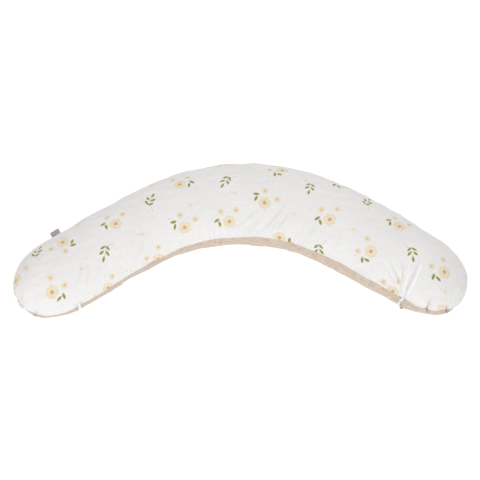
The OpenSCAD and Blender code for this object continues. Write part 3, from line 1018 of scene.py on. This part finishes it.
def inner_sheet(name, node, side, cols, material):
    """One half of the inner case: the same shape, smaller, with its own shallow wrinkles."""
    inset = 0.0095
    s = row_places(0.007, 24)[1:-1]
    t = panel_angles(s, side, np.zeros(len(s)), np.linspace(0, 1, cols))
    places = np.repeat(s[:, None], cols, 1)
    points = base(places, t, inset)
    points += normals_at(places, t) * 0.0008 * soft_noise(points, 0.05, 41)[..., None]
    points[..., 2] = np.maximum(points[..., 2], inset * INSET_LIFT)
    points = pull_in_ends(points, places, inset)
    obj = sheet_object(name, points, material, tips=end_tips(inset, inset))
    thicken(obj, 0.0006, side < 0)
    settle(obj, node)


def pull_in_ends(points, s, inset):
    """Moves the round ends in towards the middle, so that an inset shape is inset there too."""
    _, _, nx, ny = centre_line(s)
    share = np.clip((np.abs(s) - HALF_LINE) / END_RIGHT, 0, 1) ** 2 * np.sign(s) * inset
    moved = points.copy()
    moved[..., 0] -= ny * share
    moved[..., 1] += nx * share
    return moved


def make_filling(material):
    """The loose beads as one closed, filled shape."""
    s = row_places(0.008, 20)[1:-1]
    t = np.linspace(0, 2 * math.pi, 120, endpoint=False)
    places, angles = np.meshgrid(s, t, indexing="ij")
    inset = 0.0115
    points = pull_in_ends(base(places, angles, inset), places, inset)
    points += normals_at(places, angles) * 0.0006 * soft_noise(points, 0.03, 51)[..., None]
    points[..., 2] = np.maximum(points[..., 2], inset * INSET_LIFT + 0.0007)
    obj = sheet_object("filling", points, material, tips=end_tips(inset, inset), wrap=True)
    settle(obj, "bead_filling")


def seam_path(gap, inset, step):
    """Route just inside the seam, from one side of the outer middle round to the other."""
    s = row_places(step, 16)
    right = s[s > gap]
    left = s[s < -gap]
    outer_right = base(right, SEAM_OUTER, inset)
    inner = base(s[::-1], seam_inner(s[::-1]), inset)
    outer_left = base(left, SEAM_OUTER, inset)
    path = np.concatenate((outer_right[:-2], inner[2:-2], outer_left[2:]))
    places = np.concatenate((right[:-2], s[::-1][2:-2], left[2:]))
    return pull_in_ends(path, places, inset)


def seam_thread(name, node, gap, inset, material):
    """Overlocked edge: a narrow strip with a loop of thread at every stitch."""
    path = seam_path(gap, inset, 0.0024)
    up = np.zeros_like(path)
    up[:, 2] = 1
    swell = np.where(np.arange(len(path)) % 2 == 0, 1.0, 0.72)[:, None, None]
    obj = tube_object(name, path, up, oval(8, 0.0008, 0.0006), material, swell)
    settle(obj, node)


def flat_label(name, node, s_from, s_to, z_from, z_to, inset, material):
    """A thin label that follows the outer side, inside the cover."""
    s = np.linspace(s_from, s_to, 16)
    z = np.linspace(z_from, z_to, 22)
    places, heights = np.meshgrid(s, z, indexing="ij")
    points = base(places, np.arcsin((heights - WIDEST_Z) / CROWN_RISE), inset)
    _, _, nx, ny = centre_line(places)
    wave = 0.0003 * np.sin(heights * 260) * np.sin((places - s_from) * 140)
    points[..., 0] += nx * wave
    points[..., 1] += ny * wave
    obj = sheet_object(name, points, material)
    thicken(obj, 0.0003)
    settle(obj, node)


# --- the tab

TAB_ALONG = 0.230
TAB_W = 0.032
TAB_L = 0.032
TAB_ROOT = 0.004
PLY_GAP = 0.0006


def tab_lean(out):
    """The tab's slope, which grows from the seam to its folded edge."""
    return np.radians(14) + np.radians(46) * np.clip(out / TAB_L, 0, 1)


def make_tab(material):
    """Woven tab, doubled over at its outer edge and curling up from the seam."""
    straight = np.linspace(-TAB_ROOT, TAB_L - PLY_GAP, 22)
    turn = np.linspace(math.pi / 2, -math.pi / 2, 9)[1:-1]
    out = np.concatenate((straight, straight[-1] + PLY_GAP * np.cos(turn), straight[::-1]))
    ply = np.full(len(straight), PLY_GAP)
    height = np.concatenate((ply, PLY_GAP * np.sin(turn), -ply))
    fine = np.linspace(-TAB_ROOT, TAB_L + 0.002, 200)
    step = fine[1] - fine[0]
    run = np.interp(out, fine, np.cumsum(np.cos(tab_lean(fine))) * step)
    rise = np.interp(out, fine, np.cumsum(np.sin(tab_lean(fine))) * step)
    run = run - TAB_ROOT - height * np.sin(tab_lean(out))
    rise += height * np.cos(tab_lean(out))
    middle = -(BEND_R * BEND_HALF + TAB_ALONG)
    across = np.linspace(-TAB_W / 2, TAB_W / 2, 18)
    root = base(middle, SEAM_OUTER)
    beside = base([middle - 0.01, middle + 0.01], SEAM_OUTER)
    way = unit((beside[1] - beside[0]) * (1, 1, 0))
    outward = np.array([-way[1], way[0], 0])
    ripple = 0.0007 * np.sin(across * 190)[None, :] * np.clip(out / TAB_L, 0, 1)[:, None]
    points = root + across[None, :, None] * way + run[:, None, None] * outward
    points += (rise[:, None] + ripple)[..., None] * np.array([0, 0, 1.0])
    points -= outward * SEAM_DEPTH
    obj = sheet_object("tab", points, material)
    thicken(obj, 0.0004, True)
    settle(obj, "cover_tab")


# --- the zip

TAPE_T = 0.0005
TAPE_W = 0.012
COIL = 0.0022
ROW_GAP = 0.0005
ZIP_BEND = math.radians(24)
# The CAD section in the bend, which the zip lies against
SECTION_HALF = 0.139
SECTION_RISE = 0.109


def section_out(z):
    """Distance of the CAD section's outer side from the centre line, at a height."""
    return SECTION_HALF * math.sqrt(1 - ((z - WIDEST_Z) / SECTION_RISE) ** 2)


TAPE_OUT = section_out(SEAM_Z) - 0.0013


def round_the_bend(u, angle, z):
    """Points at distance u from the centre line, at an angle from the middle of the bend."""
    u, angle, z = np.broadcast_arrays(u, angle, z)
    r = BEND_R + u
    return np.stack([r * np.sin(angle), BEND_Y + r * np.cos(angle), z], -1)


def make_tape(name, node, corners, material):
    """A zip tape of the given section, swept round the bend."""
    section = np.array(corners)
    pieces = [np.linspace(a, b, 6)[:-1] for a, b in zip(section, np.roll(section, -1, axis=0))]
    section = np.concatenate(pieces)
    angle = np.linspace(-ZIP_BEND, ZIP_BEND, 260)
    points = round_the_bend(section[None, :, 0], angle[:, None], section[None, :, 1])
    middle = section.mean(0)
    tips = round_the_bend(middle[0], np.array([-ZIP_BEND, ZIP_BEND]), middle[1])
    obj = sheet_object(name, points, material, tips=tips, wrap=True)
    settle(obj, node)


def make_coil(name, node, way, material):
    """One row of the nylon coil: a wire wound along the edge of its tape."""
    pitch = 0.0014
    wire = 0.00035
    mean_r = COIL / 2 - wire
    middle_u = TAPE_OUT + COIL / 2
    middle_z = SEAM_Z + way * (ROW_GAP + COIL / 2)
    turns = int(2 * ZIP_BEND * (BEND_R + middle_u) / pitch) - 2
    per_turn = 10
    k = np.arange(turns * per_turn + 1)
    phase = 2 * math.pi * k / per_turn + (math.pi if way < 0 else 0)
    reach = turns * pitch / (BEND_R + middle_u)
    angle = -reach / 2 + reach * k / k[-1]
    flat = np.sign(np.cos(phase)) * np.abs(np.cos(phase)) ** 0.8
    path = round_the_bend(middle_u + mean_r * np.sin(phase), angle, middle_z + mean_r * flat)
    spoke = unit(path - round_the_bend(middle_u, angle, middle_z))
    obj = tube_object(name, path, spoke, oval(6, wire, wire), material)
    settle(obj, node)


def make_topstitch(material):
    """Separate stitches along both edges of the zip's slot."""
    rings = 5
    sides = 6
    share = np.linspace(0, 1, rings)
    size = 0.00022 * np.sin(np.linspace(0.25, math.pi - 0.25, rings)) ** 0.5
    circle = oval(sides, 1.0, 1.0)[None] * size[:, None, None]
    points = []
    faces = []
    for z in (SEAM_Z - SLOT_HALF - 0.0025, SEAM_Z + SLOT_HALF + 0.002):
        t = math.asin((z - WIDEST_Z) / CROWN_RISE)
        for start in np.arange(-ZIP_HALF + 0.004, ZIP_HALF - 0.006, 0.0031):
            here = start + 0.0024 * share
            _, _, nx, ny = centre_line(here)
            out = np.stack([nx, ny, np.zeros(rings)], -1)
            along_line = np.stack([ny, -nx, np.zeros(rings)], -1)
            side = np.cross(along_line, out)
            middle = base(here, t) + out * (0.0001 * np.sin(share * math.pi))[:, None]
            ring = middle[:, None] + out[:, None] * circle[..., 1:]
            ring += side[:, None] * circle[..., :1]
            first = len(points)
            points += ring.reshape(-1, 3).tolist()
            faces += grid_faces(rings, sides, True, first)
            faces.append([first + k for k in range(sides - 1, -1, -1)])
            faces.append([first + (rings - 1) * sides + k for k in range(sides)])
    obj = mesh_object("topstitch", points, faces, material)
    settle(obj, "zip_topstitch")


def make_zip(tape, coil, thread):
    tape_in = TAPE_OUT - TAPE_T
    low = SEAM_Z + ROW_GAP
    bend_z = SEAM_Z + SLOT_HALF
    top_z = low + TAPE_W
    top_out = section_out(top_z) - 0.001
    make_tape("tape_upper", "zip_tape_upper", [
        (tape_in, low), (TAPE_OUT, low), (TAPE_OUT, bend_z),
        (top_out, top_z), (top_out - TAPE_T, top_z), (tape_in, bend_z),
    ], tape)
    high = SEAM_Z - ROW_GAP
    make_tape("tape_lower", "zip_tape_lower", [
        (tape_in, high - TAPE_W), (TAPE_OUT, high - TAPE_W), (TAPE_OUT, high), (tape_in, high),
    ], tape)
    make_coil("coil_upper", "zip_coil_upper", 1, coil)
    make_coil("coil_lower", "zip_coil_lower", -1, coil)
    make_topstitch(thread)


def dress_metal(material):
    """Finish of the zip's metal pieces, which keep their CAD shape."""
    for node in ("zip_top_stops", "zip_bottom_stop", "zip_slider", "zip_pull"):
        obj = frame["nodes"][node]
        obj.data.materials.clear()
        obj.data.materials.append(material)


# --- lights and floor


def stage_and_lights():
    n = Nodes("studio_floor", 0.9)
    n.color((0.42, 0.42, 0.42, 1))
    n.set("Emission Color", (1, 1, 1, 1))
    n.set("Emission Strength", 0.78)
    size = 38.0
    corners = [(-size, -size, 0), (size, -size, 0), (size, size, 0), (-size, size, 0)]
    floor = mesh_object("floor", corners, [(0, 1, 2, 3)], n.material)

    world = bpy.data.worlds.new("studio")
    world.use_nodes = True
    sky = world.node_tree.nodes["Background"]
    sky.inputs["Color"].default_value = (1, 1, 1, 1)
    sky.inputs["Strength"].default_value = 0.45
    bpy.context.scene.world = world

    def softbox(name, place, aim, size, power, tint=(1, 1, 1)):
        data = bpy.data.lights.new(name, "AREA")
        data.shape = "DISK"
        data.size = size
        data.energy = power
        data.color = tint
        lamp = add_object(name, data)
        lamp.location = place
        direction = Vector(aim) - Vector(place)
        lamp.rotation_euler = direction.to_track_quat("-Z", "Y").to_euler()

    softbox("key_light", (-0.9, -3.0, 2.3), (0, 0, 0), 2.0, 45)
    softbox("top_light", (0.6, 0.2, 3.4), (0, 0, 0), 2.6, 29)
    softbox("back_light", (0.5, 3.3, 2.1), (0, 0, 0.1), 2.2, 22, (1.0, 0.96, 0.90))
    view = bpy.context.scene.view_settings
    view.view_transform = "Standard"
    view.look = "None"


# --- build

make_camera()
white_cotton = plain_cloth("tie_cotton", rgb(240, 239, 236), rgb(250, 249, 247))
make_tie("tie_left_ribbon", "tie_left", TIE_LEFT, -1, white_cotton)
make_tie("tie_right_ribbon", "tie_right", TIE_RIGHT, 1, white_cotton)

cotton = printed_cotton()
melange = beige_melange()
cover_panel("pillow_top", "cover_top_panel", 1, 190, cotton)
cover_panel("pillow_bottom", "cover_bottom_panel", -1, 110, melange)

case_cotton = plain_cloth("case_cotton", rgb(226, 226, 225), rgb(240, 240, 239), 1500.0)
inner_sheet("inner_top", "inner_case_top", 1, 70, case_cotton)
inner_sheet("inner_bottom", "inner_case_bottom", -1, 60, case_cotton)
make_filling(beads_material())
thread = thread_material("sewing_thread", rgb(222, 219, 213), rgb(240, 238, 233))
seam_thread("seam_overlock", "cover_seam_thread", ZIP_HALF + 0.005, 0.0062, thread)
seam_thread("inner_overlock", "inner_case_seam_thread", 0.002, 0.0122, thread)
satin = plain_cloth("satin_label", rgb(238, 238, 236), rgb(248, 248, 246), 3600.0, 0.4)
flat_label("care_label", "cover_care_label", 0.266, 0.297, 0.109, 0.155, 0.0035, satin)
arm_s = BEND_R * BEND_HALF + TAB_ALONG - 0.060
flat_label("case_label", "inner_case_label", -arm_s - 0.040, -arm_s, 0.109, 0.140, 0.0068, satin)
make_tab(tab_material())
make_zip(plain_cloth("zip_tape", rgb(220, 215, 207), rgb(234, 230, 223), 3000.0), nylon(), thread)
dress_metal(zip_metal())

stage_and_lights()
